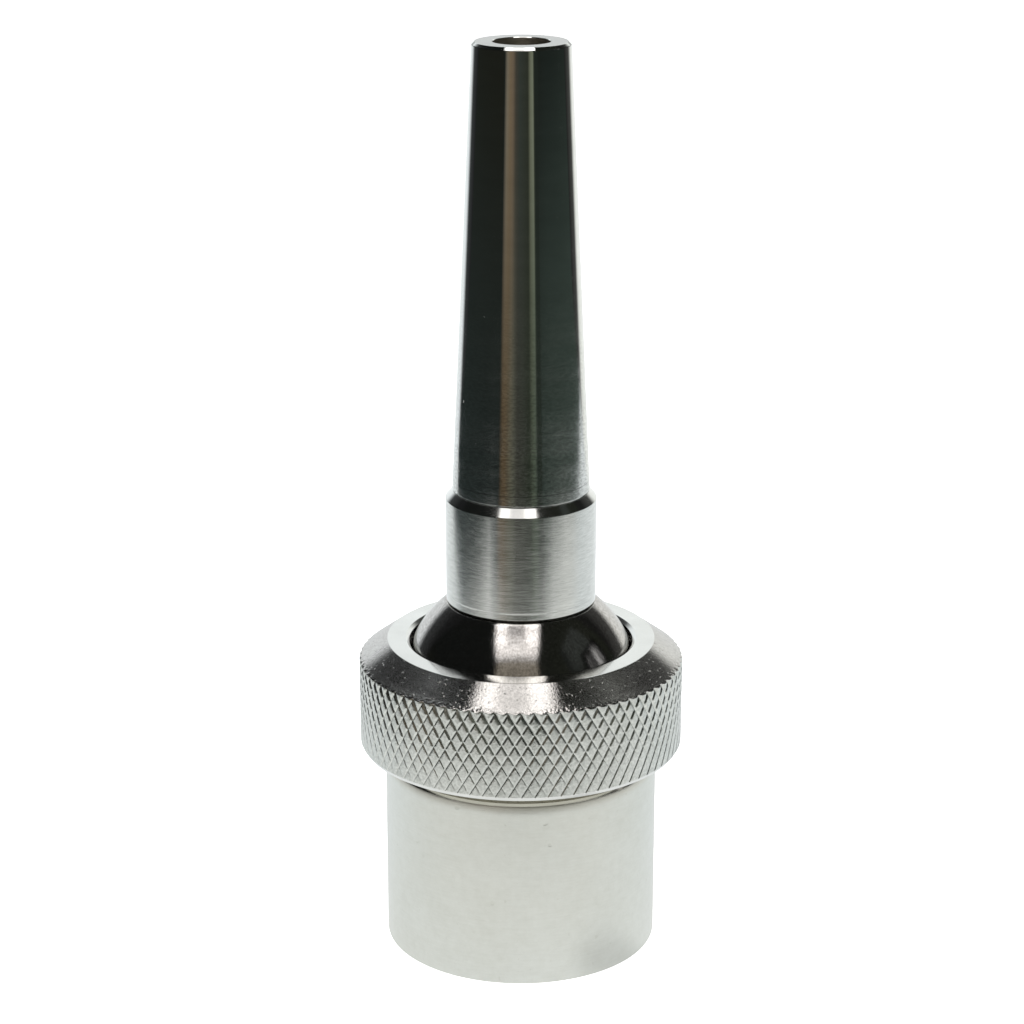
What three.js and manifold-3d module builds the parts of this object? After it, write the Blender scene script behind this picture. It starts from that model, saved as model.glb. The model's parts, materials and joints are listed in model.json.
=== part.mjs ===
// Adjustable straight-jet water nozzle: a threaded socket, a swivel ball held by a knurled lock nut,
// a neck sleeve and a tapered smooth-bore jet tube. Millimetres, +Z up along the jet, origin at the
// centre of the socket's bottom face.
import * as THREE from 'three';
import { mergeVertices } from 'three/addons/utils/BufferGeometryUtils.js';
import Module from 'manifold-3d';

const SEGMENTS = 48;
const ARC_STEP = THREE.MathUtils.degToRad(7.5);
const GAP = 0.3;

// Socket: 40 mm bar with a G1 inlet thread below and an M40 x 1.5 neck above, threads at mid depth.
const BODY_RADIUS = 20;
const BODY_TOP = 28.2;
const RIM_CHAMFER = 0.45;
const RELIEF_RADIUS = 18.7;
const RELIEF_TOP = 30;
const NECK_RADIUS = 19.4;
const NECK_TOP = 37.6;
const INLET_RADIUS = 15.9;
const INLET_DEPTH = 15;
const MOUTH_CHAMFER = 1.3;
const WASHER_BORE = 16.8;
const WASHER_SEAT = 17.5;
const PASSAGE_RADIUS = 10.5;
const SEAT_FLOOR = 23.3;
const SEAT_BORE = 16.9;
const SEAT_BORE_TOP = 31.8;
const SOCKET_BORE = 17.85;
const EDGE = 0.3;

// Swivel ball: a 35 mm ball, flat below and above, with a threaded stub.
const BALL_RADIUS = 17.5;
const BALL_CENTRE = 38.4;
const BALL_BOTTOM = 24.1;
const BALL_TOP = 52.1;
const BALL_BORE = 9;
const STUB_RADIUS = 8.5;
const STUB_ROOT = 8;
const STUB_BORE = 6;
const STUB_TOP = 60;

// Lock nut.
const NUT_BOTTOM = 30.25;
const NUT_RADIUS = 23.69;
const NUT_BEVEL = 0.59;
const NUT_SHOULDER = 43.32;
const NUT_TOP = 46.36;
const NUT_FACE_OUTER = 19.51;
const NUT_FACE_INNER = 16.8;
const NUT_OPENING = 16.35;
const NUT_BORE = 19.8;
const NUT_CEILING = 44.5;

// Neck sleeve and jet tube.
const SLEEVE_BOTTOM = 52.44;
const SLEEVE_RADIUS = 10.9;
const SLEEVE_BEVEL_TOP = 53.57;
const SLEEVE_SHOULDER = 67.76;
const SLEEVE_TOP = 68.91;
const SPIGOT_RADIUS = 8;
const SPIGOT_BOTTOM = 61;
const SPIGOT_ROOT = 7.35;
const JET_BASE_RADIUS = 9.93;
const JET_TIP_RADIUS = 6.91;
const JET_TIP = 132.94;
const JET_EDGE = 0.4;
const JET_BORE = 6.2;
const OUTLET_RADIUS = 4.03;
const OUTLET_LAND = 8;
const TAPER_START = 92;

const steel = { metalness: 1, color: 0xc9c8c2 };
const MATERIALS = {
  satin: new THREE.MeshStandardMaterial({ ...steel, roughness: 0.42 }),
  brushed: new THREE.MeshStandardMaterial({ ...steel, roughness: 0.32 }),
  polished: new THREE.MeshStandardMaterial({ metalness: 1, color: 0xb9b7b2, roughness: 0.08 }),
  rubber: new THREE.MeshStandardMaterial({ metalness: 0, color: 0x1c1c1d, roughness: 0.75 }),
  plastic: new THREE.MeshStandardMaterial({ metalness: 0, color: 0xe8e6df, roughness: 0.5 }),
};

const wasm = await Module();
wasm.setup();

// A profile is a list of [radius, height] that runs up the outside and down the inside.
function revolve(profile) {
  const points = profile.map(([r, z]) => new THREE.Vector2(r, z));
  points.push(points[0].clone());
  return new THREE.LatheGeometry(points, SEGMENTS).rotateX(Math.PI / 2);
}

// Points on a circle about [0, BALL_CENTRE] from one height to another, on the side of +radius.
function ballArc(radius, fromHeight, toHeight) {
  const from = Math.asin((fromHeight - BALL_CENTRE) / radius);
  const to = Math.asin((toHeight - BALL_CENTRE) / radius);
  const steps = Math.max(2, Math.round(Math.abs(to - from) / ARC_STEP));
  return Array.from({ length: steps + 1 }, (_, i) => {
    const angle = from + (to - from) * i / steps;
    return [radius * Math.cos(angle), BALL_CENTRE + radius * Math.sin(angle)];
  });
}

function toSolid(geometry) {
  const bare = geometry.clone();
  bare.deleteAttribute('normal');
  bare.deleteAttribute('uv');
  const merged = mergeVertices(bare, 1e-4);
  const vertProperties = new Float32Array(merged.attributes.position.array);
  const triVerts = new Uint32Array(merged.index.array);
  return new wasm.Manifold(new wasm.Mesh({ numProp: 3, vertProperties, triVerts }));
}

function toGeometry(solid) {
  const mesh = solid.getMesh();
  const geometry = new THREE.BufferGeometry();
  geometry.setAttribute('position', new THREE.BufferAttribute(mesh.vertProperties, 3));
  geometry.setIndex(new THREE.BufferAttribute(mesh.triVerts, 1));
  return geometry;
}

// Outer radius of the jet tube's cone at a height.
function coneRadius(height) {
  const slope = (JET_BASE_RADIUS - JET_TIP_RADIUS) / (JET_TIP - SLEEVE_TOP);
  return JET_BASE_RADIUS - slope * (height - SLEEVE_TOP);
}

function bodySocket() {
  const grooveInner = 13.8;
  const grooveOuter = 16.2;
  const grooveFloor = 21.2;
  const coneTop = SEAT_BORE_TOP + 1.4;
  return revolve([
    [INLET_RADIUS + MOUTH_CHAMFER, 0],
    [BODY_RADIUS - EDGE, 0],
    [BODY_RADIUS, EDGE],
    [BODY_RADIUS, BODY_TOP - RIM_CHAMFER],
    [BODY_RADIUS - RIM_CHAMFER, BODY_TOP],
    [RELIEF_RADIUS, BODY_TOP],
    [RELIEF_RADIUS, RELIEF_TOP],
    [NECK_RADIUS, RELIEF_TOP + (NECK_RADIUS - RELIEF_RADIUS)],
    [NECK_RADIUS, NECK_TOP - EDGE],
    [NECK_RADIUS - EDGE, NECK_TOP],
    [SOCKET_BORE, NECK_TOP],
    [SOCKET_BORE, coneTop],
    [SEAT_BORE, SEAT_BORE_TOP],
    [SEAT_BORE, SEAT_FLOOR],
    [grooveOuter, SEAT_FLOOR],
    [grooveOuter, grooveFloor],
    [grooveInner, grooveFloor],
    [grooveInner, SEAT_FLOOR],
    [PASSAGE_RADIUS, SEAT_FLOOR],
    [PASSAGE_RADIUS, WASHER_SEAT],
    [WASHER_BORE, WASHER_SEAT],
    [WASHER_BORE, INLET_DEPTH],
    [INLET_RADIUS, INLET_DEPTH],
    [INLET_RADIUS, MOUTH_CHAMFER],
  ]);
}

function inletWasher() {
  const inner = PASSAGE_RADIUS + 0.7;
  const thickness = 1.9;
  const top = WASHER_SEAT - GAP;
  return revolve([
    [inner, top - thickness],
    [WASHER_BORE - GAP, top - thickness],
    [WASHER_BORE - GAP, top],
    [inner, top],
  ]);
}

function oRing(ringRadius, height, sectionRadius) {
  const sides = 10;
  return revolve(Array.from({ length: sides }, (_, i) => {
    const angle = i / sides * 2 * Math.PI;
    return [ringRadius + sectionRadius * Math.cos(angle), height + sectionRadius * Math.sin(angle)];
  }));
}

function ballSeatRing() {
  const inner = 12.2;
  const top = 31;
  const cupRadius = BALL_RADIUS + GAP;
  const cupBottom = BALL_CENTRE - Math.sqrt(cupRadius ** 2 - inner ** 2);
  return revolve([
    [inner, SEAT_FLOOR + GAP],
    [SEAT_BORE - GAP, SEAT_FLOOR + GAP],
    [SEAT_BORE - GAP, top],
    ...ballArc(cupRadius, top, cupBottom),
  ]);
}

function swivelBall() {
  const mouthChamfer = 0.6;
  const rootTop = 54.2;
  const taperBottom = 40;
  const taperTop = 48;
  return revolve([
    [BALL_BORE, BALL_BOTTOM + mouthChamfer],
    [BALL_BORE + mouthChamfer, BALL_BOTTOM],
    ...ballArc(BALL_RADIUS, BALL_BOTTOM, BALL_TOP),
    [STUB_ROOT, BALL_TOP],
    [STUB_ROOT, rootTop],
    [STUB_RADIUS, rootTop + (STUB_RADIUS - STUB_ROOT)],
    [STUB_RADIUS, STUB_TOP - EDGE],
    [STUB_RADIUS - EDGE, STUB_TOP],
    [STUB_BORE, STUB_TOP],
    [STUB_BORE, taperTop],
    [BALL_BORE, taperBottom],
  ]);
}

function clampRing() {
  const bottom = 40.2;
  const top = NUT_CEILING - GAP;
  return revolve([
    [NUT_BORE - GAP, bottom],
    [NUT_BORE - GAP, top],
    ...ballArc(BALL_RADIUS + GAP, top, bottom),
  ]);
}

function knurledNut() {
  const mouthChamfer = 0.6;
  const faceChamfer = NUT_FACE_INNER - NUT_OPENING;
  return revolve([
    [NUT_BORE + mouthChamfer, NUT_BOTTOM],
    [NUT_RADIUS - NUT_BEVEL, NUT_BOTTOM],
    [NUT_RADIUS, NUT_BOTTOM + NUT_BEVEL],
    [NUT_RADIUS, NUT_SHOULDER],
    [NUT_FACE_OUTER, NUT_TOP],
    [NUT_FACE_INNER, NUT_TOP],
    [NUT_OPENING, NUT_TOP - faceChamfer],
    [NUT_OPENING, NUT_TOP - faceChamfer - EDGE],
    [NUT_FACE_INNER, NUT_CEILING],
    [NUT_BORE, NUT_CEILING],
    [NUT_BORE, NUT_BOTTOM + mouthChamfer],
  ]);
}

function neckSleeve() {
  const bevelDepth = 0.18;
  const lowerCounterbore = 9.8;
  const lowerCounterboreTop = 54;
  const upperCounterbore = 9;
  const upperCounterboreFloor = 67.2;
  const threadTop = STUB_TOP + 0.6;
  return revolve([
    [lowerCounterbore, SLEEVE_BOTTOM],
    [SLEEVE_RADIUS - bevelDepth, SLEEVE_BOTTOM],
    [SLEEVE_RADIUS, SLEEVE_BEVEL_TOP],
    [SLEEVE_RADIUS, SLEEVE_SHOULDER],
    [JET_BASE_RADIUS, SLEEVE_TOP],
    [upperCounterbore, SLEEVE_TOP],
    [upperCounterbore, upperCounterboreFloor],
    [SPIGOT_RADIUS + GAP, upperCounterboreFloor],
    [SPIGOT_RADIUS + GAP, threadTop],
    [STUB_RADIUS + GAP, threadTop],
    [STUB_RADIUS + GAP, lowerCounterboreTop],
    [lowerCounterbore, lowerCounterboreTop],
  ]);
}

function jetTube() {
  const base = SLEEVE_TOP + GAP;
  const undercutBottom = 66.9;
  const boreEdge = 0.3;
  return revolve([
    [JET_BORE, SPIGOT_BOTTOM],
    [SPIGOT_RADIUS - EDGE, SPIGOT_BOTTOM],
    [SPIGOT_RADIUS, SPIGOT_BOTTOM + EDGE],
    [SPIGOT_RADIUS, undercutBottom],
    [SPIGOT_ROOT, undercutBottom],
    [SPIGOT_ROOT, base],
    [coneRadius(base), base],
    [coneRadius(JET_TIP - JET_EDGE), JET_TIP - JET_EDGE],
    [JET_TIP_RADIUS - JET_EDGE, JET_TIP],
    [OUTLET_RADIUS + boreEdge, JET_TIP],
    [OUTLET_RADIUS, JET_TIP - boreEdge],
    [OUTLET_RADIUS, JET_TIP - OUTLET_LAND],
    [JET_BORE, TAPER_START],
  ]);
}

// Six vanes from a centre line out to a thin ring, which slides into the jet tube's bore.
function flowStraightener() {
  const bottom = 66;
  const length = 24;
  const outer = JET_BORE - GAP;
  const wall = 0.6;
  const vane = 0.7;
  const plates = 3;
  let solid = toSolid(revolve([
    [outer - wall, bottom],
    [outer, bottom],
    [outer, bottom + length],
    [outer - wall, bottom + length],
  ]));
  for (let i = 0; i < plates; i += 1) {
    const plate = new THREE.BoxGeometry(2 * outer - wall, vane, length);
    plate.rotateZ(i * Math.PI / plates);
    plate.translate(0, 0, bottom + length / 2);
    solid = solid.add(toSolid(plate));
  }
  return toGeometry(solid);
}

const group = new THREE.Group();

function addPiece(name, geometry, material) {
  const mesh = new THREE.Mesh(geometry, material.clone());
  mesh.name = name;
  group.add(mesh);
}

addPiece('body_socket', bodySocket(), MATERIALS.satin);
addPiece('inlet_washer', inletWasher(), MATERIALS.rubber);
addPiece('seat_o_ring', oRing(15, 22.4, 0.9), MATERIALS.rubber);
addPiece('ball_seat_ring', ballSeatRing(), MATERIALS.plastic);
addPiece('swivel_ball', swivelBall(), MATERIALS.polished);
addPiece('clamp_ring', clampRing(), MATERIALS.plastic);
addPiece('knurled_nut', knurledNut(), MATERIALS.brushed);
addPiece('neck_sleeve', neckSleeve(), MATERIALS.brushed);
addPiece('neck_o_ring', oRing(8.9, 53, 0.6), MATERIALS.rubber);
addPiece('jet_tube', jetTube(), MATERIALS.polished);
addPiece('jet_o_ring', oRing(8.2, 68.2, 0.5), MATERIALS.rubber);
addPiece('flow_straightener', flowStraightener(), MATERIALS.plastic);

export default group;
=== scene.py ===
"""Looks of the adjustable straight-jet nozzle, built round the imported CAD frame. Blender 4.5."""
import json
import math

import bpy
import bmesh
import numpy as np
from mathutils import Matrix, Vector


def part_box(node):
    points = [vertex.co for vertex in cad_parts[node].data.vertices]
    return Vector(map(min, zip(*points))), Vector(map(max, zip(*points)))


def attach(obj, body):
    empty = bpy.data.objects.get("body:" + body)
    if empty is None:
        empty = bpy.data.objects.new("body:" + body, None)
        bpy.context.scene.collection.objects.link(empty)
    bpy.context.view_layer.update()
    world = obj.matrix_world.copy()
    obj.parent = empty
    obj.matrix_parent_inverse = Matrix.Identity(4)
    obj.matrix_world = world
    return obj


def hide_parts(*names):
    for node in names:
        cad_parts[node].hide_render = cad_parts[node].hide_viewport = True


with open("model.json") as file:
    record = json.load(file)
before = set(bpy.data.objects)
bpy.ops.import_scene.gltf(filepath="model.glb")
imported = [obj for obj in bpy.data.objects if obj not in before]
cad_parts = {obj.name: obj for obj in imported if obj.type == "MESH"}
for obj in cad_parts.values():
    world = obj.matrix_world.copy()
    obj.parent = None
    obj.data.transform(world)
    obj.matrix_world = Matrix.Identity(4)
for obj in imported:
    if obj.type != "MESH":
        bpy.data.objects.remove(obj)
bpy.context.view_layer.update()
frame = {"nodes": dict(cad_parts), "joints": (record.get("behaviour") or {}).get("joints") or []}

# Outlines are in millimetres. Meshes, nodes, lights and the studio are in metres.
MM = 0.001


# ---------------------------------------------------------------- sizes

def bottom_and_top(node):
    """The lowest and highest point of a CAD node, in mm."""
    low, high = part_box(node)
    return low.z / MM, high.z / MM


def radius_of(node):
    """The outer radius of a round CAD node, in mm."""
    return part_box(node)[1].x / MM


BODY_BOTTOM, NECK_TOP = bottom_and_top("body_socket")
NUT_BOTTOM, NUT_TOP = bottom_and_top("knurled_nut")
BALL_BOTTOM, STUB_TOP = bottom_and_top("swivel_ball")
SLEEVE_BOTTOM, SLEEVE_TOP = bottom_and_top("neck_sleeve")
SPIGOT_BOTTOM, JET_TIP = bottom_and_top("jet_tube")
WASHER_BOTTOM, WASHER_TOP = bottom_and_top("inlet_washer")
SEAT_BOTTOM, SEAT_TOP = bottom_and_top("ball_seat_ring")
CLAMP_BOTTOM, CLAMP_TOP = bottom_and_top("clamp_ring")
BODY_RADIUS = radius_of("body_socket")
NUT_RADIUS = radius_of("knurled_nut")
BALL_RADIUS = radius_of("swivel_ball")
SLEEVE_RADIUS = radius_of("neck_sleeve")
WASHER_RADIUS = radius_of("inlet_washer")
SEAT_RADIUS = radius_of("ball_seat_ring")
CLAMP_RADIUS = radius_of("clamp_ring")

JOINTS = {joint["name"]: joint for joint in frame["joints"]}
BALL_CENTRE = JOINTS["swivel_tilt"]["pos_m"][2] / MM
BALL_TOP = BALL_CENTRE + 13.7
BODY_SHOULDER = 28.2
SHOULDER_CURVE = 10.6
JET_BASE_RADIUS = 9.93
JET_TIP_RADIUS = 6.91
OUTLET_RADIUS = 4.03
JET_BORE = 6.2
TOOL_MARK = 70.6

NECK_THREAD = {"major": 19.95, "depth": 0.92, "pitch": 1.5}
NUT_THREAD = {"major": 20.05, "depth": 0.86}
INLET_THREAD = {"minor": 15.15, "depth": 1.48, "pitch": 2.309}

# The knurl: how many grooves start each way, how many staggered rows of diamonds they leave, and where the
# mesh has its lines from one groove to the next, as shares of the way. They are closest at the grooves.
KNURL_STARTS = 80
KNURL_ROWS = 8
KNURL_STEPS = (0, 0.08, 0.16, 0.26, 0.42, 0.58, 0.74, 0.84, 0.92)
KNURL_LOW = NUT_BOTTOM + 0.59
KNURL_HIGH = 43.32
GROOVE_SLOPE = 0.95


# ---------------------------------------------------------------- turned shapes

def rounded(corners, steps=4, support=0.03):
    """A closed outline of (radius, height, corner radius) with its corners rounded.

    A point just outside each rounding keeps the flats flat when they are shaded smooth."""
    points = []
    count = len(corners)
    for i, (r, z, fillet) in enumerate(corners):
        corner = Vector((r, z))
        if fillet == 0:
            points.append(corner)
            continue
        before = Vector(corners[i - 1][:2]) - corner
        after = Vector(corners[(i + 1) % count][:2]) - corner
        half = before.angle(after) / 2
        reach = min(fillet / math.tan(half), 0.42 * before.length, 0.42 * after.length)
        fillet = reach * math.tan(half)
        before.normalize()
        after.normalize()
        centre = corner + (before + after).normalized() * (fillet / math.sin(half))
        first, last = corner + before * reach - centre, corner + after * reach - centre
        start = math.atan2(first.y, first.x)
        sweep = (math.atan2(last.y, last.x) - start + math.pi) % (2 * math.pi) - math.pi
        points.append(corner + before * (reach + support))
        for k in range(steps + 1):
            angle = start + sweep * k / steps
            points.append(centre + Vector((math.cos(angle), math.sin(angle))) * fillet)
        points.append(corner + after * (reach + support))
    return [(p.x, p.y) for p in points]


def arc(radius, centre_z, from_z, to_z, steps):
    """Points on a circle about the axis point at centre_z, from one height to another."""
    first = math.asin((from_z - centre_z) / radius)
    last = math.asin((to_z - centre_z) / radius)
    angles = [first + (last - first) * k / steps for k in range(steps + 1)]
    return [(radius * math.cos(a), centre_z + radius * math.sin(a)) for a in angles]


def rows_between(radius, from_z, to_z, step):
    """Closely spaced rows up or down a cylinder, where a thread or knurl is cut."""
    count = max(1, round(abs(to_z - from_z) / step))
    return [(radius, from_z + (to_z - from_z) * k / count) for k in range(count + 1)]


def mark_sharp(mesh, angle):
    """Smooth shading, apart from the edges that turn by the angle or more."""
    bm = bmesh.new()
    bm.from_mesh(mesh)
    for edge in bm.edges:
        edge.smooth = edge.calc_face_angle(0) < angle
    for face in bm.faces:
        face.smooth = True
    bm.to_mesh(mesh)
    bm.free()


def link_new(name, data):
    """A new object in the scene that shows the data."""
    obj = bpy.data.objects.new(name, data)
    bpy.context.collection.objects.link(obj)
    return obj


class Shell:
    """A closed surface built from rings of points round the Z axis."""

    def __init__(self):
        self.points = []
        self.faces = []

    def ring(self, radius, height, angles):
        """Adds a ring of points, with one radius or one for each angle, and returns their numbers."""
        radius = np.broadcast_to(radius, angles.shape)
        first = len(self.points)
        for r, a in zip(radius, angles):
            self.points.append((r * math.cos(a), r * math.sin(a), height))
        return list(range(first, len(self.points)))

    def join(self, lower, upper):
        """Faces from one ring to the next.

        One ring may have a whole number of times the other's points."""
        few = min(len(lower), len(upper))
        down, up = len(lower) // few, len(upper) // few
        for j in range(few):
            below = [lower[(j * down + k) % len(lower)] for k in range(down + 1)]
            above = [upper[(j * up + k) % len(upper)] for k in range(up + 1)]
            self.faces.append(below + above[::-1])

    def join_all(self, rings):
        for lower, upper in zip(rings, rings[1:]):
            self.join(lower, upper)

    def build(self, name, sharp=28):
        mesh = bpy.data.meshes.new(name)
        mesh.from_pydata([(x * MM, y * MM, z * MM) for x, y, z in self.points], [], self.faces)
        mark_sharp(mesh, math.radians(sharp))
        return link_new(name, mesh)


def revolve(name, outline, segments, relief=None):
    """A closed outline in mm turned round Z. relief(angles, radius, height) may change the radius."""
    shell = Shell()
    angles = np.linspace(0, 2 * np.pi, segments, endpoint=False)
    rings = []
    for radius, height in outline:
        shaped = radius if relief is None else relief(angles, radius, height)
        rings.append(shell.ring(shaped, height, angles))
    shell.join_all(rings + rings[:1])
    return shell.build(name)


def thread_wave(theta, height, pitch, flat=0.14):
    """0 at the root and 1 at the crest of a right-hand thread with small flats."""
    phase = (height / pitch - theta / (2 * np.pi)) % 1
    slope = np.abs(phase - 0.5) * 2
    return np.clip((slope - flat) / (1 - 2 * flat), 0, 1)


def fade(height, low, high, run):
    """1 between two heights, falling to 0 over the run inside each end."""
    return min(max(min(height - low, high - height) / run, 0), 1)


# ---------------------------------------------------------------- node helpers

class Nodes:
    """Short calls for building a node tree. A noise of scale 1000 has features of about a millimetre."""

    def __init__(self, tree):
        self.tree = tree
        self.place = self.add("ShaderNodeTexCoord").outputs["Object"]

    def add(self, kind, **settings):
        node = self.tree.nodes.new(kind)
        for key, value in settings.items():
            setattr(node, key, value)
        return node

    def feed(self, socket, value):
        """Links an output to the socket, or sets the socket to a number or colour."""
        if hasattr(value, "is_linked"):
            self.tree.links.new(value, socket)
        elif isinstance(value, tuple) and len(socket.default_value) == 4:
            socket.default_value = (*value, 1)
        else:
            socket.default_value = value

    def node(self, kind, inputs, output, **settings):
        """Adds a node, feeds its inputs and returns the named output."""
        node = self.add(kind, **settings)
        for key, value in inputs.items():
            self.feed(node.inputs[key], value)
        return node.outputs[output]

    def scaled(self, x, y, z):
        return self.node("ShaderNodeMapping", {"Vector": self.place, "Scale": (x, y, z)}, "Vector")

    def noise(self, vector, scale, detail=4, roughness=0.6):
        inputs = {"Vector": vector, "Scale": scale, "Detail": detail, "Roughness": roughness}
        return self.node("ShaderNodeTexNoise", inputs, "Fac")

    def remap(self, value, from_low, from_high, to_low, to_high, kind="LINEAR"):
        inputs = {"Value": value, "From Min": from_low, "From Max": from_high,
                  "To Min": to_low, "To Max": to_high}
        return self.node("ShaderNodeMapRange", inputs, "Result", interpolation_type=kind)

    def math(self, operation, first, second=0.0):
        return self.node("ShaderNodeMath", {0: first, 1: second}, "Value", operation=operation)

    def length(self, first, second):
        """The length of the vector with these two parts."""
        squares = [self.math("MULTIPLY", part, part) for part in (first, second)]
        return self.math("SQRT", self.math("ADD", *squares))

    def axis(self, name, vector=None):
        return self.node("ShaderNodeSeparateXYZ", {"Vector": vector or self.place}, name)

    def blend(self, factor, first, second):
        return self.node("ShaderNodeMix", {"Factor": factor, 6: first, 7: second}, 2, data_type="RGBA")

    def ramp(self, value, stops):
        """Colours blended along value, from (place, colour) stops in rising order."""
        node = self.add("ShaderNodeValToRGB")
        self.feed(node.inputs["Fac"], value)
        elements = node.color_ramp.elements
        elements.remove(elements[1])
        elements[0].position = stops[0][0]
        elements[0].color = (*stops[0][1], 1)
        for place, colour in stops[1:]:
            elements.new(place).color = (*colour, 1)
        return node.outputs["Color"]

    def ramp_between(self, value, low, high, rows):
        """Colours blended along value, from (value, colour) rows that lie between low and high."""
        stops = [((place - low) / (high - low), colour) for place, colour in rows]
        return self.ramp(self.remap(value, low, high, 0, 1), stops)

    def bump(self, height, distance, normal=None):
        inputs = {"Height": height, "Distance": distance}
        if normal is not None:
            inputs["Normal"] = normal
        return self.node("ShaderNodeBump", inputs, "Normal")

    def around_axis(self):
        """The direction round Z, for brushed and turned steel."""
        return self.add("ShaderNodeTangent", direction_type="RADIAL", axis="Z").outputs["Tangent"]


def principled(name):
    """A new material with its node helper and its shader's inputs."""
    material = bpy.data.materials.new(name)
    material.use_nodes = True
    n = Nodes(material.node_tree)
    return material, n, n.tree.nodes["Principled BSDF"].inputs


def fill(n, inputs, **values):
    """Feeds shader inputs by name, with _ for a space."""
    for key, value in values.items():
        n.feed(inputs[key.replace("_", " ")], value)


# ---------------------------------------------------------------- materials

def satin_steel():
    """The turned body: fine satin, with faint clouds and small marks from handling and cleaning."""
    material, n, inputs = principled("satin_steel")
    cloud = n.noise(n.scaled(1, 1, 1), 170, 4)
    patch = n.noise(n.scaled(1, 1, 1.6), 38, 3)
    mottle = n.noise(n.scaled(1, 1, 1), 750, 3)
    hairs = n.noise(n.scaled(1, 1, 9), 380, 3)
    waves = n.noise(n.scaled(1, 1, 1.5), 75, 3)
    grain = n.noise(n.scaled(1, 1, 1.6), 2400, 2)
    pits = n.remap(n.noise(n.scaled(1, 1, 1), 1100, 0), 0.80, 0.84, 0, 1)
    scratches = n.remap(n.noise(n.scaled(1, 1, 7), 330, 2), 0.70, 0.78, 0, 1)
    tone = n.remap(n.math("ADD", cloud, patch), 0.78, 1.22, 0, 0.55)
    for pattern, share in ((mottle, 0.30), (hairs, 0.25), (grain, 0.15)):
        tone = n.math("ADD", tone, n.remap(pattern, 0.3, 0.7, -0.2 * share, share))
    tone = n.math("SUBTRACT", tone, n.math("MULTIPLY", n.math("MAXIMUM", scratches, pits), 0.6))
    steel = n.blend(tone, (0.600, 0.613, 0.565), (0.680, 0.697, 0.655))
    # Painted reflection: a warm tint is blended into the colour over the shoulder, standing in for the warm
    # light that the shoulder mirrors.
    from_z, to_z = (BODY_SHOULDER - 1.8) * MM, (BODY_SHOULDER - 0.4) * MM
    shoulder = n.remap(n.axis("Z"), from_z, to_z, 0, 1, "SMOOTHSTEP")
    steel = n.blend(n.math("MULTIPLY", shoulder, 0.6), steel, (0.68, 0.65, 0.56))
    rough = n.math("ADD", n.remap(cloud, 0.3, 0.7, 0.28, 0.35), n.math("MULTIPLY", shoulder, 0.1))
    normal = n.bump(grain, 0.008 * MM, n.bump(waves, 0.03 * MM))
    normal = n.bump(pits, -0.012 * MM, normal)
    fill(n, inputs, Base_Color=steel, Metallic=1.0, Roughness=rough, Normal=normal)
    return material


def knurled_steel():
    """The pressed diamonds: bright steel with a fine crushed grain."""
    material, n, inputs = principled("knurled_steel")
    grain = n.noise(n.scaled(1, 1, 1), 2700, 3)
    cloud = n.noise(n.scaled(1, 1, 1), 260, 4)
    tone = n.remap(n.math("ADD", grain, n.math("MULTIPLY", cloud, 0.5)), 0.55, 0.95, 0, 1)
    fill(n, inputs, Base_Color=n.blend(tone, (0.47, 0.49, 0.46), (0.72, 0.74, 0.705)),
         Metallic=1.0, Roughness=n.remap(cloud, 0.3, 0.7, 0.26, 0.36), Normal=n.bump(grain, 0.036 * MM))
    return material


def turned_steel():
    """The nut's chamfer: tool lines run round it, and the knurling has puckered its lower edge."""
    material, n, inputs = principled("turned_steel")
    lines = n.noise(n.scaled(0.05, 0.05, 1), 5200, 2, 0.6)
    peel = n.noise(n.scaled(1, 1, 1), 3000, 2, 0.6)
    flecks = n.remap(n.noise(n.scaled(1, 1, 2.2), 1500, 1), 0.68, 0.76, 0, 1)
    pucker = n.noise(n.scaled(1, 1, 1), 1700, 1)
    near_knurl = n.remap(n.axis("Z"), (KNURL_HIGH + 0.9) * MM, KNURL_HIGH * MM, 0, 1, "SMOOTHSTEP")
    normal = n.bump(lines, 0.004 * MM)
    normal = n.bump(peel, 0.012 * MM, normal)
    normal = n.bump(flecks, 0.03 * MM, normal)
    normal = n.bump(n.math("MULTIPLY", pucker, near_knurl), 0.09 * MM, normal)
    cloud = n.noise(n.scaled(1, 1, 2), 160, 4)
    steel = n.blend(n.remap(peel, 0.35, 0.65, 0, 1), (0.51, 0.50, 0.48), (0.65, 0.64, 0.62))
    fill(n, inputs, Base_Color=steel, Metallic=1.0, Specular_Tint=(0.8, 0.8, 0.8),
         Roughness=n.remap(cloud, 0.3, 0.7, 0.17, 0.21), Anisotropic=1.0, Anisotropic_Rotation=0.25,
         Tangent=n.around_axis(), Normal=normal)
    return material


def faced_steel(name, colour_low, colour_high):
    """A clean last cut, almost a mirror: the nut's flat face and lip, and the small bevels."""
    material, n, inputs = principled(name)
    cloud = n.noise(n.scaled(1, 1, 2), 160, 4)
    peel = n.noise(n.scaled(1, 1, 1), 900, 3)
    fill(n, inputs, Base_Color=n.blend(n.remap(cloud, 0.3, 0.7, 0, 1), colour_low, colour_high),
         Metallic=1.0, Roughness=n.remap(cloud, 0.3, 0.7, 0.09, 0.15), Normal=n.bump(peel, 0.003 * MM))
    return material


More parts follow.
